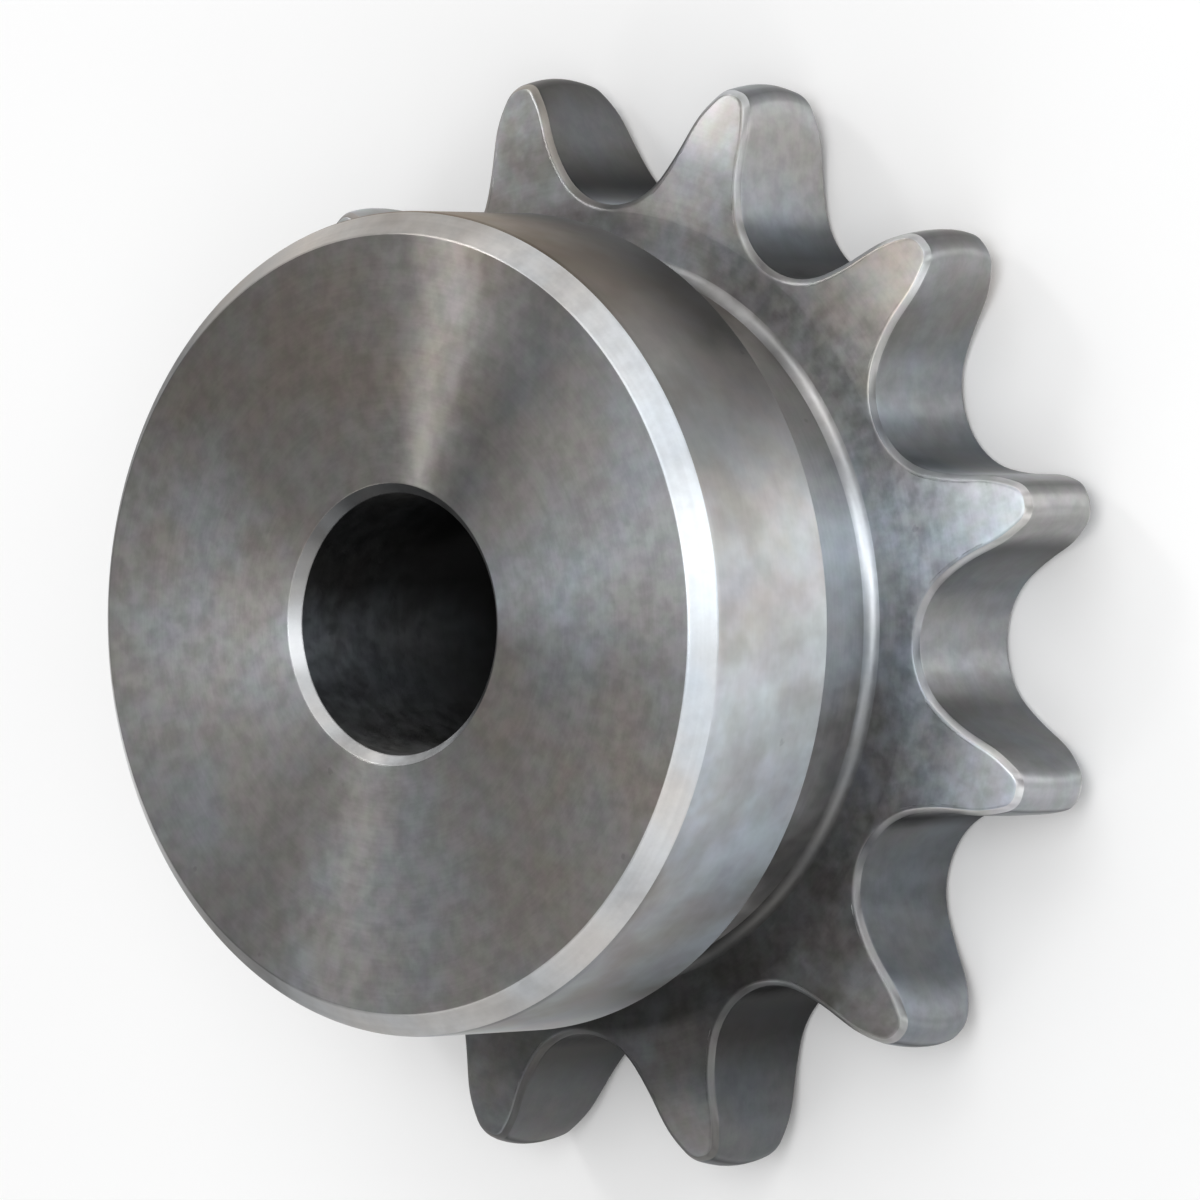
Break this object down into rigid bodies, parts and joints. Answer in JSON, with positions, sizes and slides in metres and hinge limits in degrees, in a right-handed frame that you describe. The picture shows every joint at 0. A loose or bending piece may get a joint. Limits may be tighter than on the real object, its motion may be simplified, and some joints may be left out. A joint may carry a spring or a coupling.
{
  "type": "chain sprocket",
  "caption": "One-piece steel roller chain sprocket: a toothed plate with relieved teeth, a wide hub on one side, a chain clearance groove between them and a plain bore.",
  "frame": {"origin": "on the bore axis, at the plain back face of the toothed plate, which is the lowest face", "axes": "+Z along the bore axis and out through the hub face, +X through the middle of a tooth"},
  "size_m": [0.055, 0.055, 0.0222],
  "materials": {
    "turned_steel": "fine turned plain steel, satin, uncoated"
  },
  "bodies": {
    "root": {"sprocket": "turned_steel"}
  },
  "joints": []
}
